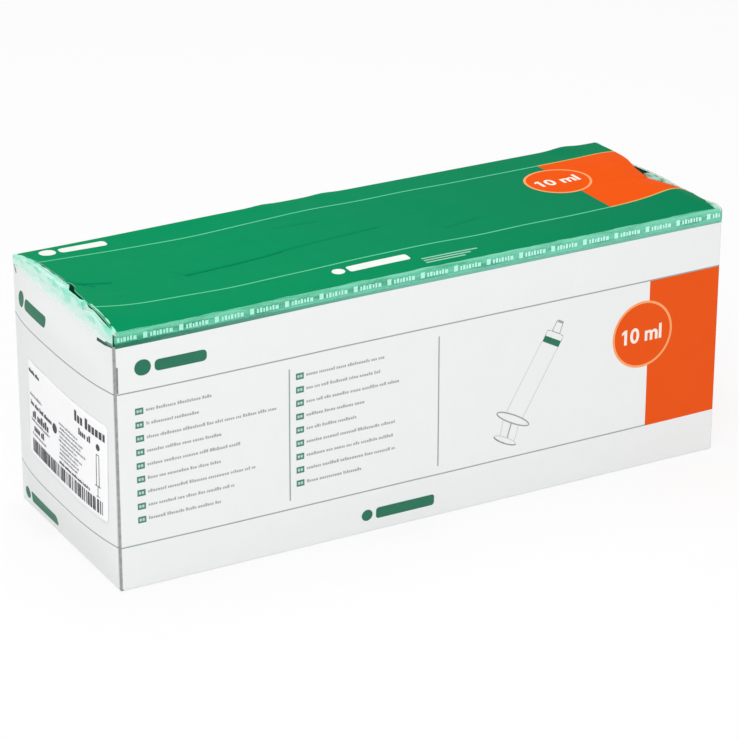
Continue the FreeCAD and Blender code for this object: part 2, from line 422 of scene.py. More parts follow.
def buildPaperFace():
    # fibres, slow mottling and the faint lines of the flutes: a tone and a height, both about 0 to 1
    tree, inner, outer = newGroup("paperFace", {"Along": 0.0}, ("Tone", "Height"))
    fibre = noise(inner["Point"], *paper["fibre"])
    mottle = noise(inner["Point"], *paper["mottle"])
    flute = calc("SINE", times(inner["Along"], 2 * math.pi / (paper["flutePitch"] * mm)))
    setInput(outer["Tone"], plus(times(mottle, 0.8), times(fibre, 0.2)))
    setInput(outer["Height"], plus(times(fibre, 0.2), times(mottle, 0.5), times(flute, 0.05)))
    return tree


def buildFoldRub():
    # rubbed print on the folds: the middle one of the distances to the end, to the long wall and to the
    # base or top is the distance to the nearest fold, and noise breaks its limit up
    tree, inner, outer = newGroup("foldRub", {"Reach": 0.0007}, ("Rub",))
    x, y, z = split(inner["Point"])
    toEnd = most(minus(halfLength * mm, calc("ABSOLUTE", x)), 0.0)
    toWall = most(minus(halfDepth * mm, calc("ABSOLUTE", y)), 0.0)
    toTop = most(least(z, minus(height * mm, z)), 0.0)
    away = most(least(toEnd, toWall), least(most(toEnd, toWall), toTop))
    broken = noise(inner["Point"], *paper["rub"])
    limit = times(inner["Reach"], times(broken, 2.0))
    near = most(divide(minus(limit, away), inner["Reach"]), 0.0)
    patch = times(minus(broken, paper["rubbedFrom"]), paper["rubContrast"])
    setInput(outer["Rub"], clamp(times(near, patch)))
    return tree


def buildCreaseShade():
    # painted shade along one crease of the lid: 1 on its line, 0 at the reach
    tree, inner, outer = newGroup("creaseShade", {"From": None, "Along": None, "Reach": 0.001}, ("Shade",))
    along = inner["Along"]
    away = mathNode("VectorMath", "SUBTRACT", inner["Point"], inner["From"])[0]
    flat = mathNode("VectorMath", "MULTIPLY", away, (1.0, 1.0, 0.0))[0]
    run = mathNode("VectorMath", "DOT_PRODUCT", flat, along)["Value"]
    whole = mathNode("VectorMath", "DOT_PRODUCT", along, along)["Value"]
    nearest = mathNode("VectorMath", "MULTIPLY", along, clamp(divide(run, whole)))[0]
    far = mathNode("VectorMath", "DISTANCE", flat, nearest)["Value"]
    setInput(outer["Shade"], most(minus(1.0, divide(far, inner["Reach"])), 0.0))
    return tree


paperFace = buildPaperFace()
foldRub = buildFoldRub()
creaseShade = buildCreaseShade()


def newMaterial(name, roughness, shine=0.12):
    # print and board shine little, so the white studio doesn't wash their colours out
    material = bpy.data.materials.new(name)
    material.use_nodes = True
    shader = material.node_tree.nodes["Principled BSDF"].inputs
    shader["Roughness"].default_value = roughness
    shader["Specular IOR Level"].default_value = shine
    return material, shader, addNode(material.node_tree, "TexCoord").outputs["Object"]


def dress(shader, colour, grain, distance):
    # the colour, and a bump from the grain
    setInput(shader["Base Color"], colour)
    bump = addNode(grain, "Bump", {"Height": grain, "Distance": distance})
    setInput(shader["Normal"], bump.outputs[0])


ink = {
    "white": (0.84, 0.857, 0.855, 1),
    "shadeWhite": (0.81, 0.829, 0.825, 1),
    "green": (0.003, 0.272, 0.108, 1),
    "deepGreen": (0.002, 0.242, 0.090, 1),
    "shadedRightGreen": (0.004, 0.195, 0.083, 1),     # painted shade: the lid's green darker towards the right end, where less light falls
    "orange": (0.83, 0.095, 0.006, 1),
    "deepOrange": (0.78, 0.084, 0.005, 1),
    "paleGreen": (0.14, 0.60, 0.35, 1),
    "cream": (0.60, 0.50, 0.15, 1),
    "line": (0.32, 0.375, 0.37, 1),
    "ring": (0.93, 0.37, 0.15, 1),
    # painted shade in the lid's creases
    "crease": (0.001, 0.085, 0.040, 1),
    "bare": (0.50, 0.47, 0.42, 1),
    # bare print under the tape's edge, with painted shade at the left end
    "shadedBandLeft": (0.011, 0.125, 0.080, 1),
    "bandRight": (0.17, 0.46, 0.37, 1),
    "stain": (0.006, 0.06, 0.035, 1),
    "edgeDark": (0.18, 0.19, 0.18, 1),
    "edgePale": (0.46, 0.48, 0.46, 1),
    "markLeft": (0.38, 0.84, 0.68, 1),
    "markRight": (0.54, 0.94, 0.83, 1),
}

layout = {
    "lines": (35.3, 129.0),   # below the top folds
    "lineWidth": 0.85,
    "band": 7.8,              # lid colour folded down the front
    "darkBand": 5.2,          # below this the band is the bare print under the tape's clear edge, darkened towards the left end with painted shade
    "hingeBand": 4.5,
    "wallFrom": 1.1,          # past this far inside its plane, a point is on the front or back wall
    "blockFromLeft": 349.4,
    "blockTop": 35.7,
    "blockLow": 129.4,
    "badge": (345.2, 68.9, 21.2),       # from the left, below the top folds, radius
    "lidBlock": (341.2, 398.6),
    "lidLines": (23.0, 107.0),          # from the back
    "lidLineWidth": 1.05,
    "lidBadge": (337.3, 53.2, 21.0),
    "badgeRing": 1.5,
    "stainDepth": 6.5,
    # painted shade: the lid's green darker towards the right end, where less light falls
    "lidShadeFade": (120, 380, 0.9),     # the lid's green darkens between these, by this share
    "inkThickness": 0.03,
}


def addBadge(colour, orange, du, dv, radius, where=1.0):
    # an orange disc in a paler ring, from the distances to its middle
    away = calc("SQRT", plus(times(du, du), times(dv, dv)))
    for reach, fill in ((radius, ink["ring"]), (radius - layout["badgeRing"], orange)):
        colour = blend(times(under(away, reach * mm), where), colour, fill)
    return colour


def addLines(colour, value, at, places, width, lineColour):
    # thin lines at measured places
    for place in places:
        colour = blend(within(value, at(place + width / 2), at(place - width / 2)), colour, lineColour)
    return colour


def boardTones(point, along):
    # the paper's relief, and white, green and orange print with its tone in them
    face = useGroup(paperFace, Point=point, Along=along)
    pairs = (("shadeWhite", "white"), ("deepGreen", "green"), ("deepOrange", "orange"))
    return face["Height"], *(blend(face["Tone"], ink[dark], ink[pale]) for dark, pale in pairs)


def addRub(colour, point, rub, bare):
    # the colour under the print shows where the folds are rubbed
    reach, share = rub
    return blend(times(useGroup(foldRub, Point=point, Reach=reach * mm)["Rub"], share), colour, bare)


def buildWallBoard():
    material, shader, point = newMaterial("wallBoard", 0.45, 0.08)
    x, y, up = split(point)
    low, high = xAt(carton["riseFrom"]), xAt(carton["riseFrom"] + carton["riseOver"])
    tall = remap(x, low, high, 1.0, 1 + carton["rise"], interpolation_type="SMOOTHSTEP")
    z = divide(up, tall)
    relief, colour, green, orange = boardTones(point, plus(x, y))
    onFront = under(y, -yAt(layout["wallFrom"]))
    onBack = above(y, yAt(layout["wallFrom"]))

    colour = addLines(colour, z, zAt, layout["lines"], layout["lineWidth"], ink["line"])
    block = within(z, zAt(layout["blockLow"]), zAt(layout["blockTop"]))
    block = times(block, above(x, xAt(layout["blockFromLeft"])))
    colour = blend(block, colour, orange)
    fromLeft, below, radius = layout["badge"]
    colour = addBadge(colour, orange, minus(x, xAt(fromLeft)), minus(z, zAt(below)), radius, onFront)

    # painted shade along the tape's edge: the bare band darkest at the left end, paler from the middle on
    dark = blend(remap(x, xAt(0), xAt(halfLength)), ink["shadedBandLeft"], ink["bandRight"])
    colour = blend(times(above(z, zAt(layout["band"])), onFront), colour, dark)
    frontBand = times(above(z, zAt(layout["darkBand"])), onFront)
    backBand = times(above(z, zAt(layout["hingeBand"])), onBack)
    colour = blend(most(frontBand, backBand), colour, green)
    colour = addRub(colour, point, paper["wallRub"], ink["bare"])
    dress(shader, colour, relief, 0.00010)
    return material


def buildLidBoard():
    material, shader, point = newMaterial("lidBoard", 0.42, 0.003)
    x, y, _ = split(point)
    relief, _, colour, orange = boardTones(point, x)
    left, right, deepest = layout["lidShadeFade"]
    # painted shade, darker towards the right end
    colour = blend(remap(x, xAt(left), xAt(right), 0.0, deepest), colour, ink["shadedRightGreen"])
    # painted shade darkens the lid along its creases
    reach, strength = paper["creaseShading"]
    for (u0, v0), (u1, v1), halfWidth, depth in lid["creases"]:
        start, along = (xAt(u0), yAt(v0), 0.0), ((u1 - u0) * mm, (v0 - v1) * mm, 0.0)
        shade = useGroup(creaseShade, Point=point, From=start, Along=along, Reach=reach * halfWidth * mm)
        colour = blend(times(shade["Shade"], strength * depth), colour, ink["crease"])

    backLine, frontLine = layout["lidLines"]
    left, right = layout["lidBlock"]
    besideBlock = within(x, xAt(left), xAt(right))
    colour = blend(times(besideBlock, within(y, yAt(frontLine), yAt(backLine))), colour, orange)
    fromLeft, fromBack, radius = layout["lidBadge"]
    colour = addBadge(colour, orange, minus(x, xAt(fromLeft)), minus(y, yAt(fromBack)), radius)

    lineColour = blend(besideBlock, ink["paleGreen"], ink["cream"])
    colour = addLines(colour, y, yAt, layout["lidLines"], layout["lidLineWidth"], lineColour)
    colour = addRub(colour, point, paper["lidRub"], ink["paleGreen"])
    dress(shader, colour, relief, 0.00016)
    return material


def buildPlain(name, colour, roughness, spread=0.12, relief=0.00008):
    # one colour, darker and lighter by the paper's tone
    material, shader, point = newMaterial(name, roughness)
    x, y, _ = split(point)
    face = useGroup(paperFace, Point=point, Along=plus(x, y))
    low = (*(value * (1 - spread) for value in colour), 1)
    high = (*(min(1.0, value * (1 + spread)) for value in colour), 1)
    dress(shader, blend(face["Tone"], low, high), face["Height"], relief)
    return material


def buildMarkInk():
    # pale print on the tape, whiter towards the right where more light falls through the film
    material, shader, point = newMaterial("markInk", 0.4)
    mottle = noise(point, 260.0, 3.0)
    share = clamp(plus(remap(split(point)[0], xAt(0), xAt(2 * halfLength)), minus(mottle, 0.5)))
    dress(shader, blend(share, ink["markLeft"], ink["markRight"]), mottle, 0.0001)
    return material


def buildRawEdge():
    # cut edge of the board: grey, and stained by the green print near the top
    material, shader, point = newMaterial("rawEdge", 0.85)
    fray = noise(point, 420.0, 4.0)
    grey = blend(fray, ink["edgeDark"], ink["edgePale"])
    top = above(split(point)[2], zAt(layout["stainDepth"]))
    dress(shader, blend(top, grey, ink["stain"]), fray, 0.0003)
    return material


# Plain finishes: colour, roughness, and where they aren't the usual ones, spread of the tone and relief
finishes = {
    "cutBoard": ((0.62, 0.60, 0.55), 0.8, 0.25, 0.0003),
    # painted shade: the slit between rim and lid, dark green
    "slitShade": ((0.006, 0.10, 0.055), 0.9, 0.3),
    "rubbedEdge": ((0.22, 0.62, 0.42), 0.6, 0.3),
    "greenInk": ((0.026, 0.172, 0.10), 0.45),
    "squareInk": ((0.07, 0.24, 0.165), 0.5),
    "greyInk": ((0.40, 0.415, 0.41), 0.5),
    "lineInk": ((0.31, 0.37, 0.36), 0.5),
    "paleLineInk": ((0.60, 0.64, 0.62), 0.5),
    "markPaleInk": ((0.52, 0.66, 0.60), 0.5),
    "paleInk": ((0.80, 0.84, 0.80), 0.5),
    "creamInk": ((0.92, 0.82, 0.72), 0.5),
    "blackInk": ((0.075, 0.075, 0.085), 0.55),
    "mintInk": ((0.30, 0.62, 0.47), 0.5),
    "bleedInk": ((0.006, 0.10, 0.055), 0.45),
    # painted shade in the gap at the torn back corner of the left end
    "bruise": ((0.20, 0.23, 0.21), 0.7, 0.5),
    "labelPaper": ((0.955, 0.955, 0.965), 0.5, 0.015, 0.00005),
    "labelGrey": ((0.30, 0.30, 0.32), 0.6),
}
finish = {name: buildPlain(name, *values) for name, values in finishes.items()}
finish["wallBoard"] = buildWallBoard()
finish["lidBoard"] = buildLidBoard()
finish["rawEdge"] = buildRawEdge()
finish["markInk"] = buildMarkInk()
print("materials built:", len(finish))


def stations():
    # places along Y: two quarter turns at the folds, even steps between, closer at the fine features
    turn = np.radians([90, 72, 54, 36, 18])
    notchFront, notchBack, _ = leftEnd["notch"]
    steps = [np.arange(0, 2 * flatY + 0.01, carton["stationGap"]) + fold, [2 * halfDepth - fold]]
    steps += [np.arange(*carton["dentStations"]), np.arange(notchFront, notchBack + 1, 1.0)]
    for place in (cornerJoint["front"], cornerJoint["back"], baseSeam["front"], baseSeam["back"], notchBack):
        steps.append([place - 0.03, place + 0.03])
    fromFront = np.unique(np.round(np.concatenate(steps), 3))
    keep = np.concatenate([[True], np.diff(fromFront) > 0.05])
    middle = fromFront[keep] - halfDepth
    middle = middle[(middle >= -flatY) & (middle <= flatY)]
    reach, inset = fold * np.sin(turn), fold * (1 - np.cos(turn))
    y = np.concatenate([-flatY - reach, middle, flatY + reach[::-1]])
    return y, np.concatenate([inset, 0 * middle, inset[::-1]])


def endColumns(y, inset, end):
    # seven points of the top outline at one end: rim, slit and the lid's cut end
    fromFront = y + halfDepth
    margin, length = carton["slitMargin"], carton["slitEase"]
    cut = np.maximum(through(end["cut"], fromFront), carton["board"] + carton["slitWidth"] + inset)
    opening = smooth((fromFront - margin) / length) * smooth((2 * halfDepth - margin - fromFront) / length)
    opening = np.maximum(opening, carton["slitLeast"])
    wall = halfLength - inset
    inner = wall - carton["board"]
    rim = rimHeight(end, fromFront) - inset
    ease = carton["cutEase"]
    lidEnd = halfLength - cut
    top = lidHeight(end["side"] * lidEnd, y) - inset
    floor = through(end["floor"], fromFront)
    x = [wall - carton["rimEase"], inner + ease, inner, inner, lidEnd, lidEnd, lidEnd - ease]
    z = [rim, rim, rim - ease, rim - ease + opening * (floor - rim + ease),
         top - ease + opening * (floor - top + ease), top - ease, top]
    return end["side"] * np.array(x), np.array(z)


def cartonSections():
    # the outline in X and Z at each station, as a ring of points: base, right wall, top, left wall
    y, inset = stations()
    leftX, leftZ = endColumns(y, inset, leftEnd)
    rightX, rightZ = endColumns(y, inset, rightEnd)
    t = np.linspace(0, 1, carton["lidColumns"] + 2)[1:-1]
    t = (t - carton["columnPull"] * np.sin(2 * np.pi * t))[:, None]
    lidX = leftX[-1] + (rightX[-1] - leftX[-1]) * t
    lidZ = lidHeight(lidX, y[None, :]) - inset
    topX = np.concatenate([leftX, lidX, rightX[::-1]])
    topZ = np.concatenate([leftZ, lidZ, rightZ[::-1]])

    # the base has the top's columns, spread evenly under the rims and slits
    ease = carton["baseFold"]
    foot = ease * inset / fold
    count = len(leftX)
    evenly = np.linspace(0, 1, count)[:, None]
    baseX = topX.copy()
    baseX[:count] = topX[0] + (topX[count - 1] - topX[0]) * evenly
    baseX[-count:] = topX[-count] + (topX[-1] - topX[-count]) * evenly
    baseX *= (halfLength - ease - inset) / (halfLength - inset - carton["rimEase"])
    fromFront = y + halfDepth
    inSeam = (fromFront > baseSeam["front"]) & (fromFront < baseSeam["back"])
    baseZ = np.zeros_like(baseX) + foot + np.where(inSeam, baseSeam["depth"], 0)

    # a pair of close rows at each level where a fine feature starts or ends
    marks = np.array([nick["low"], nick["high"], lidSeam["low"], lidSeam["top"]])
    levels = (marks - ease) / (height - carton["rimEase"] - ease)
    rows = np.concatenate([np.linspace(0, 1, carton["wallRows"]), levels - 0.0005, levels + 0.0005])
    rows = np.unique(np.clip(rows, 0, 1))[:, None]
    arc = np.radians([22.5, 45, 67.5])[:, None]

    def sideWall(end, rimZ):
        arcX = halfLength - inset - ease * (1 - np.sin(arc))
        arcZ = foot + ease * (1 - np.cos(arc)) * np.ones_like(inset)
        low = np.maximum(ease, arcZ[-1] + 0.2)
        z = low + (rimZ - carton["rimEase"] - low) * rows
        x = endWall(end, y[None, :], z) - inset
        return end["side"] * np.concatenate([arcX, x]), np.concatenate([arcZ, z])

    leftSideX, leftSideZ = sideWall(leftEnd, leftZ[0])
    inJoint = (fromFront > cornerJoint["front"]) & (fromFront < cornerJoint["back"])
    leftSideX = leftSideX + np.where(inJoint, cornerJoint["depth"], 0)
    return y, (baseX, baseZ), sideWall(rightEnd, rightZ[0]), (topX, topZ), (leftSideX, leftSideZ)


def coonsPatch(bottom, top, left, right):
    # transfinite patch between four outlines: opposite ones blended, less the blend of the corners
    u = ((bottom[:, 0] - bottom[0, 0]) / (bottom[-1, 0] - bottom[0, 0]))[:, None, None]
    v = ((left[:, 1] - left[0, 1]) / (left[-1, 1] - left[0, 1]))[None, :, None]
    along = (1 - v) * bottom[:, None] + v * top[:, None]
    across = (1 - u) * left[None] + u * right[None]
    corners = (1 - u) * ((1 - v) * bottom[0] + v * top[0]) + u * ((1 - v) * bottom[-1] + v * top[-1])
    return along + across - corners


def nickArea(x, z):
    return (x < nick["width"] - halfLength) & (z > nick["low"]) & (z < nick["high"])


def buildCarton():
    # rings of points at the stations joined along Y, and a patch over the front and over the back
    y, base, rightSide, top, leftSide = cartonSections()
    count = len(y)
    columns = len(base[0]) - 1
    rows = len(rightSide[0]) + 1
    ringX, ringZ = (np.concatenate([base[i], rightSide[i], top[i][::-1], leftSide[i][::-1]]) for i in (0, 1))
    size = len(ringX)
    topStart, topEnd = columns + rows, 2 * columns + rows
    column = np.arange(size)

    # the glued edge opens a little towards the base
    opening = cornerJoint["opening"] * smooth((cornerJoint["openBelow"] - ringZ) / 40)
    behind = np.abs(y + halfDepth - cornerJoint["back"]) < 0.2
    opens = behind & (column > topEnd)[:, None] & (ringZ > 2)
    ringY = y + np.where(opens, opening, 0)
    points = [np.stack([ringX, ringY, ringZ], axis=-1).transpose(1, 0, 2).reshape(-1, 3)]

    materials = ("wallBoard", "lidBoard", "cutBoard", "slitShade", "rubbedEdge", "rawEdge")
    wall, lidFace, cut, inside, rubbed, raw = range(len(materials))
    slots = np.full(size, wall)
    onTop = (column >= topStart) & (column < topEnd)
    fromEnd = np.minimum(column - topStart, topEnd - 1 - column)[onTop]
    # the slit's walls and floor and the lid's cut end get the painted shade
    slots[onTop] = np.array([cut, cut, inside, inside, inside, rubbed, lidFace])[np.minimum(fromEnd, 6)]
    tubeSlots = np.repeat(slots[:, None], count - 1, axis=1)
    tubeSlots[np.ix_(column > topEnd, y[1:] + halfDepth < cornerJoint["front"] + 0.1)] = raw
    number = np.arange(count * size).reshape(count, size)
    quads = [quadsOf(np.concatenate([number, number[:, :1]], axis=1).T)]
    allSlots = [tubeSlots.ravel()]

    made = count * size
    for station, direction in ((0, -1), (count - 1, 1)):
        ring = np.stack([ringX[:, station], ringZ[:, station]], axis=-1)
        upper = ring[topStart : topEnd + 1][::-1]
        left = np.concatenate([ring[topEnd:], ring[:1]])[::-1]
        patch = coonsPatch(ring[: columns + 1], upper, left, ring[columns : topStart + 1])
        grid = np.zeros((columns + 1, rows + 1), int)
        start = station * size
        grid[:, 0] = start + np.arange(columns + 1)
        grid[-1, :] = start + columns + np.arange(rows + 1)
        grid[:, -1] = start + topEnd - np.arange(columns + 1)
        grid[0, 1:-1] = start + size - np.arange(1, rows)
        inner = patch[1:-1, 1:-1]
        grid[1:-1, 1:-1] = made + np.arange(inner.shape[0] * inner.shape[1]).reshape(inner.shape[:2])
        x, z = inner[..., 0], inner[..., 1]
        face = longWall(x, z, 7 if direction < 0 else 9)
        if direction < 0:
            inSeam = (z > lidSeam["low"]) & (z < lidSeam["top"])
            face = face - np.where(inSeam, lidSeam["depth"], 0) - np.where(nickArea(x, z), nick["depth"], 0)
        points.append(np.stack([x, direction * face, z], axis=-1).reshape(-1, 3))
        made += inner.shape[0] * inner.shape[1]
        cap = quadsOf(grid.T)
        quads.append(cap if direction < 0 else cap[:, ::-1])
        middle = np.concatenate(points)[cap].mean(axis=1)
        allSlots.append(np.where(nickArea(middle[:, 0], middle[:, 2]) & (direction < 0), raw, wall))

    piece = writePiece("cartonBoard", np.concatenate(points), np.concatenate(quads),
                       [finish[name] for name in materials], np.concatenate(allSlots))
    finishPiece(piece, ["carton"])


buildCarton()


# Places on the printed faces. Each face has u to the right and v down as it is looked at.

def onFront(u, v, lift):
    x = u - halfLength
    z = (height - v) * heightShare(x)
    return np.stack([x, -longWall(x, z) - lift, z], axis=-1)


def onLid(u, v, lift):
    x, y = u - halfLength, halfDepth - v
    return np.stack([x, y, lidHeight(x, y) + lift], axis=-1)


def onLeftEnd(u, v, lift):
    y, z = halfDepth - u, height - v
    return np.stack([-endWall(leftEnd, y, z) - lift, y, z], axis=-1)


# Flat shapes: points (u, v) and faces

def sheet(u, v):
    return np.stack([u, v], axis=-1).reshape(-1, 2), quadGrid(u.shape[0] - 1, u.shape[1] - 1).tolist()


def bar(u0, v0, u1, v1, step=3.0):
    u, v = (np.linspace(a, b, max(1, math.ceil((b - a) / step)) + 1) for a, b in ((u0, u1), (v0, v1)))
    return sheet(*np.meshgrid(u, v, indexing="ij"))


def pill(u0, v0, u1, v1, radius):
    # a bar whose half height follows a quarter circle towards each end
    length = u1 - u0
    ends = radius * (1 - np.cos(np.linspace(0.12, np.pi / 2, 6)))
    inner = np.linspace(radius, length - radius, max(2, int(length / 3)))[1:-1]
    place = np.concatenate([ends, inner, length - ends[::-1]])
    rise = (v1 - v0) / 2 - cornerDrop(np.minimum(place, length - place), radius)
    v = (v0 + v1) / 2 + rise[:, None] * np.linspace(-1, 1, 3)
    return sheet(u0 + place[:, None] + 0 * v, v)


def disc(cu, cv, radius):
    # a square grid pressed into a circle
    side = np.linspace(-1, 1, 9)
    a, b = np.meshgrid(side, side, indexing="ij")
    return sheet(cu + radius * a * np.sqrt(1 - b**2 / 2), cv + radius * b * np.sqrt(1 - a**2 / 2))


def stroke(line, width, step=2.5):
    # a strip along a line of points, its sides half a width to either side
    line = np.array(line, float)
    run = np.concatenate([[0], np.cumsum(np.hypot(*np.diff(line, axis=0).T))])
    at = np.unique(np.concatenate([run, np.linspace(0, run[-1], max(2, int(run[-1] / step)))]))
    u, v = np.interp(at, run, line[:, 0]), np.interp(at, run, line[:, 1])
    du, dv = np.gradient(u, at), np.gradient(v, at)
    share = width / 2 / np.hypot(du, dv)
    return sheet(np.stack([u + dv * share, u - dv * share], axis=1),
                 np.stack([v - du * share, v + du * share], axis=1))


def ellipse(cu, cv, ru, rv, turn, start=0.0, end=2 * math.pi, count=28):
    t = np.linspace(start, end, count)
    a, b = ru * np.cos(t), rv * np.sin(t)
    return np.stack([cu + a * math.cos(turn) - b * math.sin(turn),
                     cv + a * math.sin(turn) + b * math.cos(turn)], axis=-1)


def amount(badge, tall):
    # the amount as a flat mesh in the middle of an orange disc, with a slanted stroke heading its 1
    curve = bpy.data.curves.new("amount", "FONT")
    curve.body = "10 ml"
    curve.offset = 0.028
    holder = addObject("amount", curve)
    mesh = bpy.data.meshes.new_from_object(holder.evaluated_get(bpy.context.evaluated_depsgraph_get()))
    flat = np.zeros(len(mesh.vertices) * 3)
    mesh.vertices.foreach_get("co", flat)
    flat = flat.reshape(-1, 3)[:, :2]
    faces = [tuple(face.vertices) for face in mesh.polygons]
    bpy.data.objects.remove(holder)
    bpy.data.meshes.remove(mesh)
    low, high = flat.min(0), flat.max(0)
    flat = (flat - (low + high) / 2) * tall / (high[1] - low[1])
    flat = np.array([badge[0] + 0.4, badge[1]]) + flat * [1, -1]
    left = flat[:, 0].min()
    top = flat[flat[:, 0] < left + 1.2, 1].min()
    flag = np.array([left, top]) + ((0.3, 0.0), (-1.7, 1.5), (-1.7, 3.1), (0.3, 2.2))
    return [((flat, faces), "creamInk"), ((flag, [(0, 1, 2, 3)]), "creamInk")]


def signs(marks, inkName):
    # bars with round ends, and a disc
    return [(pill(*corners), inkName) for corners in marks["pills"]] + [(disc(*marks["disc"]), inkName)]


def writePrint(name, shapes, place, lift):
    # all the shapes of one face in one piece, pressed onto that face, each with its ink's name
    inks = sorted({inkName for _, inkName in shapes})
    points, faces, slots, made = [], [], [], 0
    for (flat, quads), inkName in shapes:
        points.append(place(flat[:, 0], flat[:, 1], lift))
        faces += [tuple(made + corner for corner in face) for face in quads]
        slots += [inks.index(inkName)] * len(quads)
        made += len(flat)
    mesh = bpy.data.meshes.new(name)
    mesh.from_pydata((np.concatenate(points) * mm).tolist(), [], faces)
    piece = addPiece(name, mesh, [finish[inkName] for inkName in inks], slots)
    finishPiece(piece, thickness=layout["inkThickness"])


panel = {
    "dividers": (107.0, 204.4),
    "dividerSpan": (42.0, 123.6),
    "halfDivider": 0.4,
    "columns": (11.7, 111.2),
    "square": (5.0, 3.9),
    "squareMarks": ((0.9, 2.2), (2.7, 4.0)),
    "firstRow": 47.5,
    "rowPitch": 8.3,
    "rowEnds": ((58, 51, 98.6, 63, 75.7, 63, 84, 71.7, 62.5),
                (168, 165, 178, 154.6, 150.7, 176, 174, 175.4, 152.5)),
    # left, top, right, low, radius of the corners
    "pills": ((12, 17, 22, 26.4, 4.6), (24.2, 18.6, 56, 25.4, 2.6), (163.5, 141.4, 202.5, 148.4, 1.8)),
    "disc": (157.6, 144.9, 3.6),
    "letters": 9.8,
}


def greekedRow(rng, start, end, middle, tall, inkName, wide=(0.7, 1.4), gap=0.35, space=1.1):
    # one line of writing without letters: dashes in groups of word length, some of them taller
    shapes, at = [], start
    left = rng.integers(2, 9)
    while at < end:
        width = rng.uniform(*wide)
        up = tall * (0.95 if rng.random() < 0.25 else 0.5)
        shapes.append((bar(at, middle - up, at + width, middle + tall / 2), inkName))
        left -= 1
        at += width + (gap if left else space)
        left = left or rng.integers(3, 11)
    return shapes


def panelText(seed):
    # rows of greeked writing, each row behind its square with two pale marks in it
    rng = np.random.default_rng(seed)
    shapes, marks = [], []
    width, tall = panel["square"]
    for start, ends in zip(panel["columns"], panel["rowEnds"]):
        for row, end in enumerate(ends):
            middle = panel["firstRow"] + panel["rowPitch"] * row
            shapes.append((bar(start, middle - tall / 2, start + width, middle + tall / 2), "squareInk"))
            for left, right in panel["squareMarks"]:
                marks.append((bar(start + left, middle - 0.8, start + right, middle + 0.8), "markPaleInk"))
            shapes += greekedRow(rng, start + width + 1.6, end, middle, 1.35, "greyInk")
    return shapes, marks


# Outline drawing of a syringe, s along its axis from the tip and w across it, both in millimetres
syringe = {
    "tip": (287.3, 48.5),
    "foot": (250.8, 116.8),
    "stroke": 0.5,
    "boldStroke": 0.8,
    "hub": (
        ((0.4, 2.4), (1.0, 2.7), (7.5, 2.9), (8.2, 6.3), (11.5, 6.3)),
        ((0.4, -1.8), (1.0, -2.0), (7.5, -3.0), (8.2, -6.3), (11.5, -6.3)),
        ((7.6, 2.9), (7.6, -3.0)),
    ),
    "barrelAndRod": (
        ((15.3, 6.5), (18, 6.8), (62.4, 8.2)), ((15.3, -6.2), (18, -5.9), (62.4, -4.6)),
        ((67.4, 7.8), (76.8, 4.9)), ((67.4, -4.3), (76.8, -6.2)),
    ),
    "rodMiddle": ((67.4, 1.4), (76.4, -0.4)),
    "band": ((11.5, 15.3), 6.3),
    "cap": ((0.0, 1.5), 2.0),
    "flange": (64.6, 1.65, 12.5, 2.5),       # s and w of its centre, half width, half thickness
    "footDisc": (78.2, 0.35, 8.5, 1.8),
}


def syringeDrawing():
    tip, foot = np.array(syringe["tip"]), np.array(syringe["foot"])
    axis = (foot - tip) / np.hypot(*(foot - tip))
    side = np.array([-axis[1], axis[0]])
    turn = math.atan2(side[1], side[0])
    thin, bold = syringe["stroke"], syringe["boldStroke"]

    def at(pairs):
        return [tip + axis * s + side * w for s, w in pairs]

    def solid(span, half):
        corners = at([(span[0], -half), (span[0], half), (span[1], -half), (span[1], half)])
        return np.array(corners), [(0, 2, 3, 1)]

    def curved(part, width, **arc):
        s, w, wide, thick = syringe[part]
        return stroke(ellipse(*at([(s, w)])[0], wide, thick, turn, **arc), width, 1.5)

    shapes = [(stroke(at(line), thin), "lineInk") for line in syringe["hub"]]
    shapes += [(stroke(at(line), thin), "paleLineInk") for line in syringe["barrelAndRod"]]
    shapes.append((stroke(at(syringe["rodMiddle"]), bold), "lineInk"))
    shapes.append((solid(*syringe["band"]), "greenInk"))
    shapes.append((solid(*syringe["cap"]), "lineInk"))
    shapes.append((curved("flange", bold), "lineInk"))
    shapes.append((curved("footDisc", thin), "paleLineInk"))
    near = math.pi if side[0] < 0 else 0.0
    shapes.append((curved("footDisc", bold, start=near, end=near + math.pi, count=16), "lineInk"))
    return shapes


def buildPanelPrint():
    shapes, marks = panelText(21)
    shapes += syringeDrawing() + amount(layout["badge"], panel["letters"]) + signs(panel, "greenInk")
    half, (top, low) = panel["halfDivider"], panel["dividerSpan"]
    shapes += [(bar(place - half, top, place + half, low), "lineInk") for place in panel["dividers"]]
    writePrint("panelMarks", marks, onFront, 0.10)
    writePrint("panelPrint", shapes, onFront, 0.06)


lidMarks = {
    "pills": ((13, 4.4, 23, 14.4, 4.6), (25.2, 6.0, 55, 13.4, 2.6), (156.5, 114.2, 196, 121.8, 1.8)),
    "disc": (150.4, 118.0, 3.9),
    "rows": ((201, 124.0, 238, 125.2), (201, 126.8, 232, 128.0), (201, 129.6, 227, 130.8)),
    "letters": 10.0,
}


def buildLidPrint():
    shapes = amount(layout["lidBadge"], lidMarks["letters"]) + signs(lidMarks, "paleInk")
    shapes += [(bar(*corners), "mintInk") for corners in lidMarks["rows"]]
    writePrint("lidPrint", shapes, onLid, 0.07)


